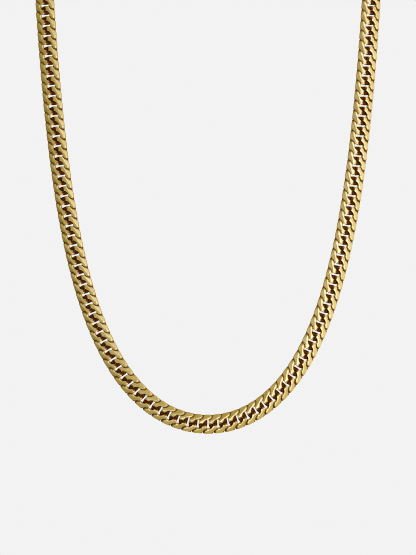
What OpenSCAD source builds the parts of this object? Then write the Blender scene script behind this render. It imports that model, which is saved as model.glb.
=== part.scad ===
// Curb link necklace, hanging: the front of the loop is upright and faces -Y, the back of it
// bends over to the nape. The origin is at the nape, on the inner face of the clasp. +Z is up.

/* [Chain] */
// Number of links in the whole loop, an odd number, with one of them at the bottom of the front
link_count = 151; // [147:2:155]
// Distance from one link to the next along the chain
pitch = 3.2; // [3.18:0.01:3.25]
// Width of the chain over its outer edges
chain_w = 6.1; // [6:0.05:6.2]
// Thickness of the chain over its two flattened faces
chain_t = 1.8; // [1.7:0.05:1.9]
// Length of one link over its ends
link_l = 6.0; // [5.95:0.01:6.05]
// Diameter of the gold wire where a link bends round its neighbour
wire_d = 1.4; // [1.35:0.01:1.42]
// Width of the opening in the middle of a link
slot_w = 2.7; // [2.6:0.05:2.8]
// How far each side of a link comes forwards over one neighbour and goes back under the other
dip = 1.95; // [1.85:0.05:2]
// Distance that each link keeps from the surface midway between it and its neighbour
seam_gap = 0.26; // [0.26:0.01:0.3]

/* [Hang] */
// Radius of the bottom of the front curve
bottom_r = 28.2; // [27:0.1:30]
// Length along the strand over which the curve closes up to twice a plain catenary's slope
close_len = 98; // [95:1:105]
// How sharply the curve closes up about that length, 1 for evenly along the strand
close_power = 1.4; // [1.3:0.1:1.5]
// Length of each strand from the bottom to where the back begins
front_len = 156; // [150:1:160]
// Radius of the bend over the shoulders
shoulder_r = 38; // [36:1:45]
// Outward lean of the flat face at the bottom of the front
lean_front = 11; // [5:1:15]
// Outward lean of the flat face at the nape
lean_back = 35; // [20:1:40]

/* [Clasp] */
// Length of the straight stretch between the middles of the two end links
clasp_span = 20.0; // [19.8:0.1:20.2]
// Length of the clasp's bar
bar_l = 11.3; // [11:0.1:11.4]
// Width of the clasp's bar
bar_w = 5.6; // [5:0.1:6]
// Thickness of the clasp's bar
bar_t = 3.2; // [3:0.1:3.6]
// Radius of each eye's centreline
eye_r = 1.9; // [1.8:0.05:1.95]
// Wire diameter of each eye
eye_d = 1.0; // [0.9:0.05:1.05]
// Turn of each eye about the chain's direction
eye_turn = 72; // [68:1:76]

/* [Hidden] */
gold = [0.86, 0.75, 0.42];

// The wire is rolled flatter and wider where two links cross. Its section has few sides, so it is
// drawn a little larger than the round wire, to keep the true widths over its flats
rings = 10;
sides = 5;
facet = 1.14;
wire_r = facet * wire_d / 2;
arm_r = facet * (chain_w - slot_w) / 4;
arm_h = 1.1;
spread_out = 0.15;
spread_in = 0.35;
thinning = 0.4;
half_l = link_l / 2 - wire_r * cos(180 / sides);
half_w = chain_w / 2 - arm_r * cos(180 / sides);
dip_power = 2.65;

// The flat faces end at bevels that run down to the chain's edges
face_w = 4.7;
edge_t = 1.0;

// The surface midway between two neighbours turns as it crosses the chain
seam_angle = 150;
seam_reach = 1.0;

// Lengths along the loop, measured from the bottom of the front
half_loop = ((link_count - 1) * pitch + clasp_span) / 2;
back_end = half_loop - clasp_span / 2;
steps = 8;
ds = pitch / 2 / steps;

function signed_pow(v, e) = sign(v) * pow(abs(v), e);

// Slope of the hanging front at the length s
function front_slope(s) = atan(s / bottom_r * (1 + pow(s / close_len, close_power)));

// Half width of the front at the length s, added up in short steps
function front_u(s) = let (n = ceil(s / ds), d = s / n)
    [for (i = 0, u = 0; i <= n; u = u + d * cos(front_slope((i + 0.5) * d)), i = i + 1) u][n];

// The back is a straight stretch, a round turn and the clasp's straight stretch, of the length
// and radius that bring each strand to the middle
slope_up = front_slope(front_len);
turn = 180 - slope_up;
spare = back_end - front_len;
turn_r = (front_u(front_len) - clasp_span / 2 + spare * cos(slope_up))
    / (turn * PI / 180 * cos(slope_up) + sin(slope_up));
turn_start = back_end - turn_r * turn * PI / 180;

// Slope of the whole strand at the length s
function slope(s) = s < front_len ? front_slope(s)
    : s < turn_start ? slope_up
    : min(180, slope_up + (s - turn_start) / turn_r * 180 / PI);

// Flat places along one strand, [across, up], one for each short step
function flat_path(length) = let (n = round(length / ds))
    [for (i = 0, u = 0, v = 0; i <= n;
        u = u + ds * cos(slope((i + 0.5) * ds)),
        v = v + ds * sin(slope((i + 0.5) * ds)),
        i = i + 1) [u, v]];
path = flat_path(half_loop);
fold_start = path[round(front_len / ds)][1];
nape_flat = path[len(path) - 1][1];

// The flat loop is bent backwards over the shoulders without stretching it
function fold(v) = max(0, v - fold_start) / shoulder_r * 180 / PI;
function folded(u, v) = v < fold_start ? [u, 0, v]
    : [u, shoulder_r * (1 - cos(fold(v))), fold_start + shoulder_r * sin(fold(v))];

// Axes at a place on the loop: along the chain, across its width, and out of its flat face
function lean(s) = lean_front + (lean_back - lean_front) * pow(s / half_loop, 4);
function axes(s, v) =
    let (a = sign(s) * slope(abs(s)), f = fold(v), r = lean(abs(s)),
         up = [0, sin(f), cos(f)], face = [0, -cos(f), sin(f)],
         along = [cos(a), 0, 0] + sin(a) * up,
         outward = [sin(a), 0, 0] - cos(a) * up,
         out = cos(r) * face + sin(r) * outward)
    [along, cross(out, along), out];

// The nape is the top of the loop, and the clasp's inner face there is the origin
nape_axes = axes(half_loop, nape_flat);
nape = folded(0, nape_flat) - bar_t / 2 * nape_axes[2];

function placed(p, at, ax) = at - nape + p[0] * ax[0] + p[1] * ax[1] + p[2] * ax[2];

// Centreline of one link, at the angle t round it
function centre(t) = [
    half_l * cos(t),
    half_w * sin(t),
    -dip * signed_pow(cos(t), dip_power) * sin(t)];

// Half width of the wire, on the link's outer or inner side, and half its height
function crossing(t) = pow(sin(2 * t), 2);
function half_across(t, outer) =
    wire_r + (arm_r - wire_r) * pow(abs(sin(t)), 1.5) + (outer ? spread_out : spread_in) * crossing(t);
function half_high(t) = wire_r + (arm_h - wire_r) * pow(sin(t), 4) - thinning * crossing(t);

// Keeps a point of a link on its own side of the surface between it and the neighbour on one side
function kept(p, side) =
    let (turn = seam_angle * p[1] / norm([p[1], seam_reach]),
         away = side * [cos(turn), 0, -sin(turn)],
         room = away * (p - [side * pitch / 2, 0, 0]))
    p + max(0, seam_gap - room) * away;

// Presses a point between the chain's two flat faces, their bevels and the chain's edges
function pressed(p) =
    let (slant = [chain_t - edge_t, chain_w - face_w], out = slant / norm(slant),
         over = max(0, out * [abs(p[1]) - face_w / 2, abs(p[2]) - chain_t / 2]))
    [p[0],
     sign(p[1]) * min(chain_w / 2, abs(p[1]) - over * out[0]),
     sign(p[2]) * min(chain_t / 2, abs(p[2]) - over * out[1])];

// One ring of points round the wire
function ring(i) =
    let (step = 360 / rings, t = i * step,
         along = centre(t + step) - centre(t - step),
         side = cross(along, [0, 0, 1]), u = side / norm(side),
         over = cross(u, along), w = over / norm(over))
    [for (j = [0:sides - 1])
        let (g = (j + 0.5) * 360 / sides,
             p = centre(t) + half_across(t, cos(g) > 0) * cos(g) * u + half_high(t) * sin(g) * w)
            pressed(kept(p, sign(cos(t))))];
link_points = [for (i = [0:rings - 1]) each ring(i)];
function apart(a, b) = norm(link_points[a] - link_points[b]);
link_faces = [for (i = [0:rings - 1], j = [0:sides - 1])
    let (k = (i + 1) % rings, m = (j + 1) % sides,
         a = i * sides + j, b = i * sides + m, c = k * sides + m, d = k * sides + j)
    each apart(a, c) <= apart(b, d) ? [[a, b, c], [a, c, d]] : [[a, b, d], [b, c, d]]];

// Place of the link number i from the bottom, side = -1 for the left strand and 1 for the right
function link_place(i, side) =
    let (s = i * pitch, flat = path[round(s / ds)])
    [folded(side * flat[0], flat[1]), axes(side * s, flat[1])];

// One strand, from the link number first up to the clasp
module strand(side, first) {
    places = [for (i = [first:(link_count - 1) / 2]) link_place(i, side)];
    count = len(link_points);
    polyhedron(
        points = [for (at = places, p = link_points) placed(p, at[0], at[1])],
        faces = [for (i = [0:len(places) - 1], f = link_faces) f + [1, 1, 1] * i * count]);
}

module chain_left() {
    color(gold) strand(-1, 1);
}

module chain_right() {
    color(gold) strand(1, 0);
}

// Each eye is turned so that it passes through the last link without touching it
module eye(side) {
    translate([side * (bar_l / 2 + eye_r - eye_d / 4), 0, 0])
        rotate([-side * eye_turn, 0, 0])
            rotate_extrude($fn = 32)
                translate([eye_r, 0])
                    circle(d = eye_d, $fn = 16);
}

// A strip of the given length and height with half round ends
module strip(length, height) {
    square([length - height, height], center = true);
    for (side = [-1, 1])
        translate([side * (length - height) / 2, 0])
            circle(d = height, $fn = 48);
}

// The bar is a strip seen from above, and has round ends seen from the side too
module bar() {
    intersection() {
        translate([0, 0, -bar_t / 2])
            linear_extrude(bar_t)
                strip(bar_l, bar_w);
        translate([0, bar_w / 2, 0])
            rotate([90, 0, 0])
                linear_extrude(bar_w)
                    strip(bar_l, bar_t);
    }
}

module clasp() {
    at = bar_t / 2 * nape_axes[2];
    rows = [for (k = [0:2]) [nape_axes[0][k], nape_axes[1][k], nape_axes[2][k], at[k]]];
    color(gold)
        multmatrix(rows)
            union() {
                bar();
                eye(-1);
                eye(1);
            }
}

chain_left();
chain_right();
clasp();
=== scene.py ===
import math

import bpy
from mathutils import Matrix, Vector


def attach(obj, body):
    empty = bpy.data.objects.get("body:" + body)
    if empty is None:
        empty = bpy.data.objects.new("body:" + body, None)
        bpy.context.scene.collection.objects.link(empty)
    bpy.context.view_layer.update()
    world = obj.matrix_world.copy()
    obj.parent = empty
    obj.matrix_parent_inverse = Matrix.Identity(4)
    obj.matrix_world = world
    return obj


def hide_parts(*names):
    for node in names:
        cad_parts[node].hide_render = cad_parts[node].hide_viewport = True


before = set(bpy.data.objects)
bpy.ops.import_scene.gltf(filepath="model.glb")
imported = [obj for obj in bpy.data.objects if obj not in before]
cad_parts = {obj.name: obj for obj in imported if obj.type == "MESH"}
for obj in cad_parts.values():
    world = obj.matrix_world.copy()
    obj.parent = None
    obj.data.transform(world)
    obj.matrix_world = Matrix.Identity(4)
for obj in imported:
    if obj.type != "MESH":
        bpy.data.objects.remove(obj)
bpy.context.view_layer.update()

# The way the necklace hangs.
# Its front is a U of chain that closes faster than a plain catenary, its back bends over the
# shoulders and turns round to the clasp. Lengths are measured from the bottom of the front.
LINK_COUNT = 151
PITCH = 0.0032
BOTTOM_R = 0.0282
CLOSE_LEN = 0.098
CLOSE_POWER = 1.4
FRONT_LEN = 0.156
SHOULDER_R = 0.038
LEAN_FRONT = math.radians(11)
LEAN_BACK = math.radians(35)
LEAN_POWER = 4
CLASP_SPAN = 0.0200
BAR_T = 0.0032
PITCH_STEPS = 16
STEP = PITCH / PITCH_STEPS
HALF_LOOP = ((LINK_COUNT - 1) * PITCH + CLASP_SPAN) / 2
BACK_END = HALF_LOOP - CLASP_SPAN / 2


def front_slope(s):
    """Slope of the hanging front at the length s, as an angle to the level."""
    return math.atan(s / BOTTOM_R * (1 + (s / CLOSE_LEN) ** CLOSE_POWER))


def back_turn():
    """Where the turn at the back begins, and its radius, so that each strand ends at the middle."""
    count = round(FRONT_LEN / STEP)
    half_width = sum(STEP * math.cos(front_slope((i + 0.5) * STEP)) for i in range(count))
    steep = front_slope(FRONT_LEN)
    spare = BACK_END - FRONT_LEN
    reach = half_width - CLASP_SPAN / 2 + spare * math.cos(steep)
    radius = reach / ((math.pi - steep) * math.cos(steep) + math.sin(steep))
    return BACK_END - radius * (math.pi - steep), radius


TURN_START, TURN_R = back_turn()


def slope(s):
    """Slope of the whole strand, laid flat, at the length s."""
    if s < FRONT_LEN:
        return front_slope(s)
    steep = front_slope(FRONT_LEN)
    if s < TURN_START:
        return steep
    return min(math.pi, steep + (s - TURN_START) / TURN_R)


def flat_path():
    """Places of one strand laid flat, (across, up), one for each short step."""
    across, up = 0.0, 0.0
    places = [(across, up)]
    for i in range(round(HALF_LOOP / STEP)):
        angle = slope((i + 0.5) * STEP)
        across += STEP * math.cos(angle)
        up += STEP * math.sin(angle)
        places.append((across, up))
    return places


PATH = flat_path()
FOLD_START = PATH[round(FRONT_LEN / STEP)][1]


def fold(up):
    """How far round the shoulders the flat height up is bent, as an angle."""
    return max(0.0, up - FOLD_START) / SHOULDER_R


def folded(across, up):
    """A flat place bent backwards over the shoulders without stretching."""
    if up < FOLD_START:
        return Vector((across, 0, up))
    bend = fold(up)
    depth = SHOULDER_R * (1 - math.cos(bend))
    return Vector((across, depth, FOLD_START + SHOULDER_R * math.sin(bend)))


def chain_axes(s, up):
    """Directions at a place on the loop: along the chain, and out of its flat face."""
    angle = math.copysign(slope(abs(s)), s)
    bend = fold(up)
    lean = LEAN_FRONT + (LEAN_BACK - LEAN_FRONT) * (s / HALF_LOOP) ** LEAN_POWER
    upwards = Vector((0, math.sin(bend), math.cos(bend)))
    face = Vector((0, -math.cos(bend), math.sin(bend)))
    across = Vector((1, 0, 0))
    along = across * math.cos(angle) + upwards * math.sin(angle)
    outward = across * math.sin(angle) - upwards * math.cos(angle)
    return along, face * math.cos(lean) + outward * math.sin(lean)


NAPE_ALONG, NAPE_OUT = chain_axes(HALF_LOOP, PATH[-1][1])
NAPE = folded(0, PATH[-1][1]) - NAPE_OUT * BAR_T / 2

# The gold.
# Every piece is polished pale yellow gold with fine rubbed scratches. On the chain the pressed
# faces stay clean gold, while the wire inside the links and along the seams is painted dark brown
# as shade.
GOLD_PALE = (0.86, 0.72, 0.34, 1)
GOLD_DEEP = (0.74, 0.55, 0.15, 1)
# The next two colours are painted shade: a lighter one at a recess's rim and a darker one in its
# core, which is also made less metallic and less glossy than the gold
SHADED = (0.26, 0.108, 0.012, 1)
PAINTED_DEEP_SHADE = (0.10, 0.010, 0.0006, 1)
EDGE_GOLD = (1, 0.90, 0.62, 1)
PAINTED_SHADE_METAL = 0.1
PAINTED_SHADE_GLOSS = 0.06
CLOUD_SCALE = 900
CLOUD_DETAIL = 3
CLOUD_TONE = 0.5
SCRATCH_SCALE = 5200
SCRATCH_DETAIL = 2
SCRATCH_STRETCH = (1, 0.25, 0.35)
SCRATCH_SLANT = (0.3, 0.5, 0.2)
SCRATCH_DEPTH = 0.00003
SCRATCH_STRENGTH = 0.35
POLISH = 0.20
CLOUD_DULLNESS = 0.12
RECESS_DULLNESS = 0.3


def set_input(tree, socket, value):
    """Links an input to a socket, or gives it a number or a colour."""
    if isinstance(value, bpy.types.NodeSocket):
        tree.links.new(value, socket)
    else:
        socket.default_value = value


def mixed(tree, blend_from, blend_to, amount):
    """A mix of two colours. The Mix node holds its colour sockets after those for other kinds."""
    mix = tree.nodes.new("ShaderNodeMix")
    mix.data_type = "RGBA"
    for index, value in ((6, blend_from), (7, blend_to), (0, amount)):
        set_input(tree, mix.inputs[index], value)
    return mix.outputs[2]


def maths(tree, operation, *values, clamp=False):
    node = tree.nodes.new("ShaderNodeMath")
    node.operation = operation
    node.use_clamp = clamp
    for socket, value in zip(node.inputs, values):
        set_input(tree, socket, value)
    return node.outputs[0]


def noise(tree, place, scale, detail):
    texture = tree.nodes.new("ShaderNodeTexNoise")
    texture.inputs["Scale"].default_value = scale
    texture.inputs["Detail"].default_value = detail
    tree.links.new(place, texture.inputs["Vector"])
    return texture.outputs["Fac"]


def add_sockets(tree, in_out, kinds):
    """Gives a node group its named inputs or outputs."""
    for name, kind in kinds.items():
        tree.interface.new_socket(name, in_out=in_out, socket_type="NodeSocket" + kind)


def rubbed_gold_group():
    """Rubbed gold with painted shade: from a place, a recess and a tone to a colour, a roughness
    and a height.
    """
    group = bpy.data.node_groups.new("rubbed_gold", "ShaderNodeTree")
    add_sockets(group, "INPUT", {"Position": "Vector", "Recess": "Float", "Tone": "Float"})
    results = {"Color": "Color", "Metallic": "Float", "Roughness": "Float", "Height": "Float"}
    add_sockets(group, "OUTPUT", results)
    given = group.nodes.new("NodeGroupInput").outputs
    recess = given["Recess"]

    # The tone drifts from place to place and from link to link, and a recess goes from the clean
    # gold to a painted shade in its first half and from there to a darker painted shade in its
    # second
    cloud = noise(group, given["Position"], CLOUD_SCALE, CLOUD_DETAIL)
    wear = maths(group, "MULTIPLY_ADD", cloud, CLOUD_TONE, given["Tone"])
    clean = mixed(group, GOLD_PALE, GOLD_DEEP, wear)
    rim = maths(group, "MULTIPLY", recess, 2, clamp=True)
    core = maths(group, "MULTIPLY_ADD", recess, 2, -1, clamp=True)
    shaded = mixed(group, clean, SHADED, rim)

    polish = maths(group, "MULTIPLY_ADD", cloud, CLOUD_DULLNESS, POLISH)
    stretch = group.nodes.new("ShaderNodeMapping")
    stretch.inputs["Scale"].default_value = SCRATCH_STRETCH
    stretch.inputs["Rotation"].default_value = SCRATCH_SLANT
    group.links.new(given["Position"], stretch.inputs["Vector"])
    values = {
        "Color": mixed(group, shaded, PAINTED_DEEP_SHADE, core),
        "Metallic": maths(group, "MULTIPLY_ADD", core, PAINTED_SHADE_METAL - 1, 1),
        "Roughness": maths(group, "MULTIPLY_ADD", recess, RECESS_DULLNESS, polish),
        "Height": noise(group, stretch.outputs[0], SCRATCH_SCALE, SCRATCH_DETAIL),
    }
    outputs = group.nodes.new("NodeGroupOutput")
    for name, value in values.items():
        group.links.new(value, outputs.inputs[name])
    return group


RUBBED_GOLD = rubbed_gold_group()


def gold_material(name, stored=()):
    """Rubbed gold, with shade painted where a Recess mask is stored. The names stored are those of
    masks kept on the piece, Recess or Tone.
    """
    material = bpy.data.materials.new(name)
    material.use_nodes = True
    tree = material.node_tree
    shader = tree.nodes["Principled BSDF"]
    # This gloss only shows in the darkest painted shade, which is barely metallic
    shader.inputs["Specular IOR Level"].default_value = PAINTED_SHADE_GLOSS
    shader.inputs["Specular Tint"].default_value = EDGE_GOLD
    finish = tree.nodes.new("ShaderNodeGroup")
    finish.node_tree = RUBBED_GOLD
    place = tree.nodes.new("ShaderNodeTexCoord")
    tree.links.new(place.outputs["Object"], finish.inputs["Position"])
    for mask in stored:
        attribute = tree.nodes.new("ShaderNodeAttribute")
        attribute.attribute_name = mask.lower()
        tree.links.new(attribute.outputs["Fac"], finish.inputs[mask])
    bump = tree.nodes.new("ShaderNodeBump")
    bump.inputs["Strength"].default_value = SCRATCH_STRENGTH
    bump.inputs["Distance"].default_value = SCRATCH_DEPTH
    tree.links.new(finish.outputs["Height"], bump.inputs["Height"])
    tree.links.new(bump.outputs[0], shader.inputs["Normal"])
    tree.links.new(finish.outputs["Color"], shader.inputs["Base Color"])
    tree.links.new(finish.outputs["Metallic"], shader.inputs["Metallic"])
    tree.links.new(finish.outputs["Roughness"], shader.inputs["Roughness"])
    return material


# One link.
# An oval of gold wire, soldered shut and bent over one neighbour and under the other. The chain
# is then rolled, which presses the wire flat on both faces and wide where two links cross.
CHAIN_W = 0.0061
CHAIN_T = 0.0018
LINK_L = 0.0060
WIRE_R = 0.0007
SLOT_W = 0.0027
RINGS = 46
SIDES = 28

# The wire's middle runs round the link and dips behind one neighbour and before the other
ARM_R = (CHAIN_W - SLOT_W) / 4
ARM_H = 0.00130
HALF_L = LINK_L / 2 - WIRE_R
HALF_W = CHAIN_W / 2 - ARM_R
DIP = 0.0023
DIP_POWER = 2.65


def signed_pow(value, power):
    """A power of a value that keeps its sign."""
    return math.copysign(abs(value) ** power, value)


def soft_min(a, b, reach):
    """The smaller of two lengths, rounded off where they are closer than reach."""
    near = max(reach - abs(a - b), 0) / reach
    return min(a, b) - near ** 3 * reach / 6


def smooth(value, start, end):
    """0 up to the start, 1 from the end on, and an even change between."""
    share = min(1, max(0, (value - start) / (end - start)))
    return share * share * (3 - 2 * share)


def link_centre(t):
    """The middle of the wire at the angle t round the link."""
    dip = DIP * signed_pow(math.cos(t), DIP_POWER) * math.sin(t)
    return Vector((HALF_L * math.cos(t), HALF_W * math.sin(t), -dip))


# Its section is round at the ends of the link and grows to a wide boxy one along the sides. Where
# two links cross it is squeezed flatter, and wider outwards. EVENING sets the points of a boxy
# section further from its corners
WIDTH_POWER = 1.5
SIDE_POWER = 4
BOXINESS = 0.4
EVENING = 0.15
SPREAD_OUT = 0.00045
SPREAD_IN = -0.00008
SPREAD_ONSET = 1.4
THINNING = 0.00015


def wire_section(t):
    """Half widths of the wire outwards and inwards, and half its height, at the angle t."""
    side, crossing = abs(math.sin(t)), math.sin(2 * t) ** 2
    across = WIRE_R + (ARM_R - WIRE_R) * side ** WIDTH_POWER
    outwards = across + SPREAD_OUT * (crossing * min(1, SPREAD_ONSET * side ** 2))
    inwards = across + SPREAD_IN * crossing
    high = WIRE_R + (ARM_H - WIRE_R) * side ** SIDE_POWER - THINNING * crossing
    return outwards, inwards, high


# The seam with each neighbour is a surface midway between the two links. It turns as it crosses
# the chain, and a little more close to the chain's edges
SEAM_ANGLE = math.radians(182)
SEAM_REACH = 0.0015
SEAM_HOOK = math.radians(18)
HOOK_START = 0.0018
CHAIN_EDGE = 0.0028
SEAM_GAP = 0.000015
SEAM_ROUNDING = 0.00012


def kept(point, side):
    """A point kept on the link's side of the seam with one neighbour, and its room to the seam."""
    turn = SEAM_ANGLE * point.y / math.hypot(point.y, SEAM_REACH)
    turn += math.copysign(SEAM_HOOK * smooth(abs(point.y), HOOK_START, CHAIN_EDGE), point.y)
    away = side * Vector((math.cos(turn), 0, -math.sin(turn)))
    room = away.dot(point - Vector((side * PITCH / 2, 0, 0)))
    clear = -soft_min(-room, -SEAM_GAP, SEAM_ROUNDING)
    return point + (clear - room) * away, clear


# The rolls leave a flat facet that slants across each side of the link and falls away on both
# sides of it
FACET_IN = 0.00112
FACET_OUT = 0.00222
FACET_SLOPE = 0.45
FACET_FALL = 0.6
FACET_ROUNDING = 0.00005
EDGE_ROUNDING = 0.0001


def pressed(point):
    """A point pressed below the facet and its falls, and within the chain's edges."""
    x = point.x * math.copysign(1, point.y * point.z)
    y = soft_min(abs(point.y), CHAIN_W / 2, EDGE_ROUNDING)
    slant = math.hypot(1, FACET_SLOPE)
    beyond = (y - FACET_OUT - FACET_SLOPE * x) / slant
    before = (FACET_IN + FACET_SLOPE * x - y) / slant
    fall = soft_min(-FACET_FALL * beyond, -FACET_FALL * before, EDGE_ROUNDING)
    top = CHAIN_T / 2 + soft_min(fall, 0, FACET_ROUNDING)
    z = soft_min(abs(point.z), max(top, 0), EDGE_ROUNDING)
    return Vector((point.x, math.copysign(y, point.y), math.copysign(z, point.z)))


# Painted shade fills the wire inside the link up to where it rises over a neighbour, lightened a
# little midway down by a painted glint, and fills the seams, where it is wider at the chain's edges
INSIDE_W = 0.0007
INSIDE_FADE = 0.0005
RISE_START = 0.0001
RISE_END = 0.0004
GLINT_START = 0.0006
GLINT_END = 0.0010
GLINT_SHARE = 0.2
EDGE_START = 0.0020
SEAM_DEPTH = 0.65
SEAM_FADE = 0.00014
EDGE_FADE = 0.0006


def recess(place, rise, seam_share, room):
    """How much painted shade a place gets, 0 to 1, from how deep it is in the inside or in a seam.
    rise is its way up from below.
    """
    out = abs(place.y)
    inside = 1 - smooth(out, INSIDE_W, INSIDE_W + INSIDE_FADE)
    inside *= 1 - smooth(rise, RISE_START, RISE_END)
    midway = smooth(-rise, RISE_START, RISE_END) * (1 - smooth(-rise, GLINT_START, GLINT_END))
    inside *= 1 - GLINT_SHARE * midway
    fade = SEAM_FADE + EDGE_FADE * smooth(out, EDGE_START, CHAIN_EDGE)
    seam = seam_share * (1 - smooth(room, SEAM_GAP, SEAM_GAP + fade))
    return max(inside, SEAM_DEPTH * seam)


# The seams begin just past the middle of each side of the link
SEAM_ONSET = 0.25
TANGENT_STEP = 0.01


def link_ring(t):
    """Points round the wire at the angle t round the link, and how deep each is in a recess."""
    along = link_centre(t + TANGENT_STEP) - link_centre(t - TANGENT_STEP)
    outward = along.cross(Vector((0, 0, 1))).normalized()
    upward = outward.cross(along).normalized()
    wide_out, wide_in, high = wire_section(t)
    seam_share = smooth(abs(math.cos(t)), 0, SEAM_ONSET)
    boxy = 1 - BOXINESS * math.sin(t) ** SIDE_POWER
    ring = []
    for j in range(SIDES):
        g = (j + 0.5) * 2 * math.pi / SIDES
        g -= EVENING * math.sin(4 * g) * math.sin(t) ** 2
        wide = wide_out if math.cos(g) > 0 else wide_in
        point = link_centre(t) + wide * signed_pow(math.cos(g), boxy) * outward
        point += high * signed_pow(math.sin(g), boxy) * upward
        held, room = kept(point, math.copysign(1, math.cos(t)))
        place = pressed(point.lerp(held, seam_share))
        rise = place.y * math.copysign(1, -math.cos(t) * math.sin(g))
        ring.append((place, recess(place, rise, seam_share, room)))
    return ring


def tube_faces(rings, sides, steps, first=0):
    """Faces between neighbouring rings of points, outwards where each ring turns to the right."""
    faces = []
    for i in range(steps):
        here, there = first + i * sides, first + (i + 1) % rings * sides
        for j in range(sides):
            k = (j + 1) % sides
            faces.append((here + j, there + j, there + k, here + k))
    return faces


def link():
    """The link, with the depth of its recesses, where shade is painted, stored on its points."""
    points = [item for i in range(RINGS) for item in link_ring(2 * math.pi * i / RINGS)]
    mesh = bpy.data.meshes.new("link")
    mesh.from_pydata([place for place, depth in points], [], tube_faces(RINGS, SIDES, RINGS))
    stored = mesh.attributes.new("recess", "FLOAT", "POINT")
    for item, (place, depth) in zip(stored.data, points):
        item.value = depth
    return bpy.data.objects.new("link", mesh)


LINK = link()

# The two strands.
# Each link passes through the next one on either side. The right strand has the link at the
# bottom of the front, and each strand is one run of links from there up and round to the clasp.
CHAIN_GOLD = gold_material("chain_gold", ("Recess", "Tone"))
TURN_SPREAD = (0.035, 0.025, 0.004)
TONE_SPREAD = 0.25


def chance(tree, kind, spread, seed):
    """A random value for each link, between minus the spread and the spread."""
    value = tree.nodes.new("FunctionNodeRandomValue")
    value.data_type = kind
    if kind == "FLOAT_VECTOR":
        minus = tree.nodes.new("ShaderNodeVectorMath")
        minus.operation = "SCALE"
        minus.inputs["Scale"].default_value = -1
        tree.links.new(spread, minus.inputs[0])
        negative = minus.outputs[0]
    else:
        negative = maths(tree, "MULTIPLY", spread, -1)
    least, most = [socket for socket in value.inputs if socket.enabled][:2]
    tree.links.new(negative, least)
    tree.links.new(spread, most)
    tree.links.new(seed, value.inputs["Seed"])
    return next(socket for socket in value.outputs if socket.enabled)


def strand_tree():
    """Sets one link at each place of a strand, with a small turn and a tone of its own."""
    tree = bpy.data.node_groups.new("curb_strand", "GeometryNodeTree")
    inputs = {
        "Geometry": "Geometry",
        "Link": "Object",
        "Turn Spread": "Vector",
        "Tone Spread": "Float",
        "Seed": "Int",
        "Material": "Material",
    }
    add_sockets(tree, "INPUT", inputs)
    add_sockets(tree, "OUTPUT", {"Geometry": "Geometry"})
    nodes, join = tree.nodes, tree.links.new
    given = nodes.new("NodeGroupInput").outputs
    info = nodes.new("GeometryNodeObjectInfo")
    join(given["Link"], info.inputs["Object"])
    turn = nodes.new("FunctionNodeAxesToRotation")
    turn.primary_axis, turn.secondary_axis = "Z", "X"
    for name, socket in (("out", "Primary Axis"), ("along", "Secondary Axis")):
        stored = nodes.new("GeometryNodeInputNamedAttribute")
        stored.data_type = "FLOAT_VECTOR"
        stored.inputs["Name"].default_value = name
        join(stored.outputs[0], turn.inputs[socket])
    place = nodes.new("GeometryNodeInstanceOnPoints")
    join(given["Geometry"], place.inputs["Points"])
    join(info.outputs["Geometry"], place.inputs["Instance"])
    join(turn.outputs[0], place.inputs["Rotation"])
    settle = nodes.new("GeometryNodeRotateInstances")
    join(place.outputs[0], settle.inputs["Instances"])
    turns = chance(tree, "FLOAT_VECTOR", given["Turn Spread"], given["Seed"])
    join(turns, settle.inputs["Rotation"])
    tone = nodes.new("GeometryNodeStoreNamedAttribute")
    tone.data_type, tone.domain = "FLOAT", "INSTANCE"
    tone.inputs["Name"].default_value = "tone"
    join(settle.outputs[0], tone.inputs["Geometry"])
    next_seed = maths(tree, "ADD", given["Seed"], 1)
    join(chance(tree, "FLOAT", given["Tone Spread"], next_seed), tone.inputs["Value"])
    realize = nodes.new("GeometryNodeRealizeInstances")
    join(tone.outputs[0], realize.inputs[0])
    smoothed = nodes.new("GeometryNodeSetShadeSmooth")
    join(realize.outputs[0], smoothed.inputs["Geometry"])
    finish = nodes.new("GeometryNodeSetMaterial")
    join(smoothed.outputs[0], finish.inputs["Geometry"])
    join(given["Material"], finish.inputs["Material"])
    join(finish.outputs[0], nodes.new("NodeGroupOutput").inputs[0])
    return tree


STRAND_TREE = strand_tree()


def strand(name, side, first, seed):
    """One strand as a plain mesh. side is -1 for the left strand and 1 for the right."""
    lengths = [i * PITCH for i in range(first, LINK_COUNT // 2 + 1)]
    flat = [PATH[round(s / STEP)] for s in lengths]
    mesh = bpy.data.meshes.new(name + "_places")
    mesh.from_pydata([folded(side * across, up) - NAPE for across, up in flat], [], [])
    for index, key in enumerate(("along", "out")):
        stored = mesh.attributes.new(key, "FLOAT_VECTOR", "POINT")
        for item, s, (across, up) in zip(stored.data, lengths, flat):
            item.vector = chain_axes(side * s, up)[index]
    places = bpy.data.objects.new(name + "_places", mesh)
    bpy.context.scene.collection.objects.link(places)
    modifier = places.modifiers.new("curb_strand", "NODES")
    modifier.node_group = STRAND_TREE
    values = {
        "Link": LINK,
        "Turn Spread": TURN_SPREAD,
        "Tone Spread": TONE_SPREAD,
        "Seed": seed,
        "Material": CHAIN_GOLD,
    }
    for item in STRAND_TREE.interface.items_tree:
        if item.in_out == "INPUT" and item.name in values:
            modifier[item.identifier] = values[item.name]
    evaluated = places.evaluated_get(bpy.context.evaluated_depsgraph_get())
    links = bpy.data.objects.new(name, bpy.data.meshes.new_from_object(evaluated))
    bpy.context.scene.collection.objects.link(links)
    bpy.data.objects.remove(places)
    return links


for name, side, first, seed in (("chain_left", -1, 1, 3), ("chain_right", 1, 0, 8)):
    links = strand(name + "_links", side, first, seed)
    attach(links, "root")
    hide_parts(name)

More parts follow.
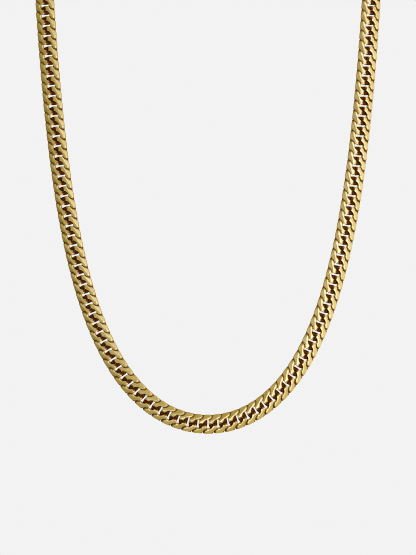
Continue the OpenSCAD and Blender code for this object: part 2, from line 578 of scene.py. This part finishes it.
# The clasp.
# One plain polished piece at the nape: a short cushion-shaped bar with an eye soldered on each
# end, through which the last link of each strand passes.
BAR_L = 0.0113
BAR_W = 0.0056
BAR_CORNER = 0.45
BAR_RINGS = 48
BAR_SIDES = 48
EYE_R = 0.0019
EYE_WIRE = 0.0005
EYE_TURN = math.radians(72)
EYE_RINGS = 48
EYE_SIDES = 16
CLASP_GOLD = gold_material("clasp_gold")


def round_end(x, length, height):
    """Half the height of a strip with half round ends at the place x along it."""
    past = max(0, abs(x) - (length - height) / 2)
    return math.sqrt(max(0, height * height / 4 - past * past))


def bar_ring(x):
    """Points round the bar at the place x along it, a box with soft corners."""
    wide, high = round_end(x, BAR_L, BAR_W), round_end(x, BAR_L, BAR_T)
    ring = []
    for j in range(BAR_SIDES):
        g = -2 * math.pi * j / BAR_SIDES
        y = wide * signed_pow(math.cos(g), BAR_CORNER)
        z = high * signed_pow(math.sin(g), BAR_CORNER)
        ring.append(Vector((x, y, z)))
    return ring


def eye_ring(side, t):
    """Points round the wire of one eye at the angle t round it."""
    middle = Vector((side * (BAR_L / 2 + EYE_R - EYE_WIRE / 2), 0, 0))
    turned = Matrix.Rotation(-side * EYE_TURN, 3, "X")
    outward, upward = Vector((math.cos(t), math.sin(t), 0)), Vector((0, 0, 1))
    ring = []
    for j in range(EYE_SIDES):
        g = 2 * math.pi * j / EYE_SIDES
        place = EYE_R * outward + EYE_WIRE * (math.cos(g) * outward + math.sin(g) * upward)
        ring.append(middle + turned @ place)
    return ring


def clasp_mesh():
    """The bar and both eyes at the nape, with the bar's rings closest together at its ends."""
    spots = [-math.cos(math.pi * (i + 0.5) / BAR_RINGS) * BAR_L / 2 for i in range(BAR_RINGS)]
    points = [point for x in spots for point in bar_ring(x)]
    last = (BAR_RINGS - 1) * BAR_SIDES
    faces = tube_faces(BAR_RINGS, BAR_SIDES, BAR_RINGS - 1)
    faces.append(tuple(range(BAR_SIDES)))
    faces.append(tuple(reversed(range(last, last + BAR_SIDES))))
    angles = [2 * math.pi * i / EYE_RINGS for i in range(EYE_RINGS)]
    for side in (-1, 1):
        faces += tube_faces(EYE_RINGS, EYE_SIDES, EYE_RINGS, len(points))
        points += [point for t in angles for point in eye_ring(side, t)]
    across = NAPE_OUT.cross(NAPE_ALONG)
    turned = Matrix((NAPE_ALONG, across, NAPE_OUT)).transposed()
    mesh = bpy.data.meshes.new("clasp_bar")
    mesh.from_pydata([turned @ point + NAPE_OUT * BAR_T / 2 for point in points], [], faces)
    mesh.materials.append(CLASP_GOLD)
    mesh.shade_smooth()
    return mesh


clasp = bpy.data.objects.new("clasp_bar", clasp_mesh())
bpy.context.scene.collection.objects.link(clasp)
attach(clasp, "root")
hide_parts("clasp")

# The studio.
# A plain pale floor and surround, soft cool lights on the right and low in front, a weak one on
# the left, and a long lens level with the front. The gold mirrors a warmer and darker room.

# The photograph's scale comes from one pitch of chain, and its middle from the front's lowest link
PHOTO_H_PX = 555
PITCH_PX = 10.07
BOTTOM_PX = 424.2
PIXEL = PITCH / PITCH_PX
CENTRE_Z = (BOTTOM_PX - PHOTO_H_PX / 2) * PIXEL - NAPE.z
FRONT_Y = -NAPE.y
COOL = (0.92, 1.05, 1.90)
NEUTRAL = (0.96, 0.97, 1.2)


def soft_light(name, place, size, watts, colour):
    """A soft box turned to the middle of the hanging front."""
    lamp = bpy.data.lights.new(name, "AREA")
    lamp.color = colour
    lamp.shape = "RECTANGLE"
    lamp.size, lamp.size_y = size
    lamp.energy = watts
    thing = bpy.data.objects.new(name, lamp)
    thing.location = place
    target = Vector((0, FRONT_Y, CENTRE_Z))
    thing.rotation_euler = (target - Vector(place)).to_track_quat("-Z", "Y").to_euler()
    bpy.context.scene.collection.objects.link(thing)


soft_light("key_right", (0.35, -0.77, -0.03), (0.34, 0.75), 0.74, COOL)
soft_light("side_right", (0.75, -0.30, 0.0), (0.9, 0.9), 0.8, COOL)
soft_light("high_right", (0.35, -0.45, 0.55), (0.5, 0.3), 0.3, COOL)
soft_light("fill_left", (-0.44, -0.55, -0.34), (0.32, 0.36), 0.155, NEUTRAL)
soft_light("low_front", (0.03, -0.75, -0.38), (0.34, 0.3), 0.50, COOL)

# The floor and the surround are one even pale tone to the camera. What the gold mirrors of them
# grows brighter to the right
PALE = 0.89
WARM = (1, 0.885, 0.46, 1)
SURROUND_GLOW = 0.55
SURROUND_GAIN = 0.17
FLOOR_GLOW = 0.32
FLOOR_GAIN = 0.40
FLOOR_FADE = 1.2
FLOOR_MIDDLE = 0.5
FLOOR_Z = -0.45
FLOOR_HALF = 4


def rightness(tree, coordinate):
    """How far to the right a direction in the surround or a place on the floor lies."""
    place = tree.nodes.new("ShaderNodeTexCoord")
    parts = tree.nodes.new("ShaderNodeSeparateXYZ")
    tree.links.new(place.outputs[coordinate], parts.inputs[0])
    return parts.outputs["X"]


def pale_surround(tree, kind, output, glow):
    """Pale where the camera sees it, and warm with the given glow in what the gold mirrors."""
    mirrored, pale = tree.nodes.new(kind), tree.nodes.new(kind)
    mirrored.inputs["Color"].default_value = WARM
    tree.links.new(glow, mirrored.inputs["Strength"])
    pale.inputs["Color"].default_value = (1, 1, 1, 1)
    pale.inputs["Strength"].default_value = PALE
    rays = tree.nodes.new("ShaderNodeLightPath")
    seen = tree.nodes.new("ShaderNodeMixShader")
    tree.links.new(rays.outputs["Is Camera Ray"], seen.inputs[0])
    tree.links.new(mirrored.outputs[0], seen.inputs[1])
    tree.links.new(pale.outputs[0], seen.inputs[2])
    tree.links.new(seen.outputs[0], tree.nodes[output].inputs["Surface"])


world = bpy.data.worlds.new("studio")
world.use_nodes = True
surround = world.node_tree
surround_x = rightness(surround, "Generated")
surround_glow = maths(surround, "MULTIPLY_ADD", surround_x, SURROUND_GAIN, SURROUND_GLOW)
pale_surround(surround, "ShaderNodeBackground", "World Output", surround_glow)
bpy.context.scene.world = world

floor_pale = bpy.data.materials.new("floor_pale")
floor_pale.use_nodes = True
paint = floor_pale.node_tree
floor_x = rightness(paint, "Object")
floor_share = maths(paint, "MULTIPLY_ADD", floor_x, FLOOR_FADE, FLOOR_MIDDLE, clamp=True)
floor_glow = maths(paint, "MULTIPLY_ADD", floor_share, FLOOR_GAIN, FLOOR_GLOW)
pale_surround(paint, "ShaderNodeEmission", "Material Output", floor_glow)
floor_mesh = bpy.data.meshes.new("floor")
signs = ((-1, -1), (1, -1), (1, 1), (-1, 1))
corners = [(x * FLOOR_HALF, y * FLOOR_HALF, FLOOR_Z) for x, y in signs]
floor_mesh.from_pydata(corners, [], [(0, 1, 2, 3)])
floor_mesh.materials.append(floor_pale)
floor = bpy.data.objects.new("floor", floor_mesh)
bpy.context.scene.collection.objects.link(floor)

bpy.context.scene.view_settings.view_transform = "Standard"
bpy.context.scene.cycles.filter_width = 0.9

# The lens frames the photograph's height at the plane of the hanging front
CAMERA_DISTANCE = 0.75
SENSOR_MM = 36
lens = bpy.data.cameras.new("camera")
lens.sensor_fit = "VERTICAL"
lens.sensor_height = SENSOR_MM
lens.lens = SENSOR_MM * CAMERA_DISTANCE / (PHOTO_H_PX * PIXEL)
lens.clip_end = 20
camera = bpy.data.objects.new("camera", lens)
camera.location = (0, FRONT_Y - CAMERA_DISTANCE, CENTRE_Z)
camera.rotation_euler = (math.radians(90), 0, 0)
bpy.context.scene.collection.objects.link(camera)
bpy.context.scene.camera = camera
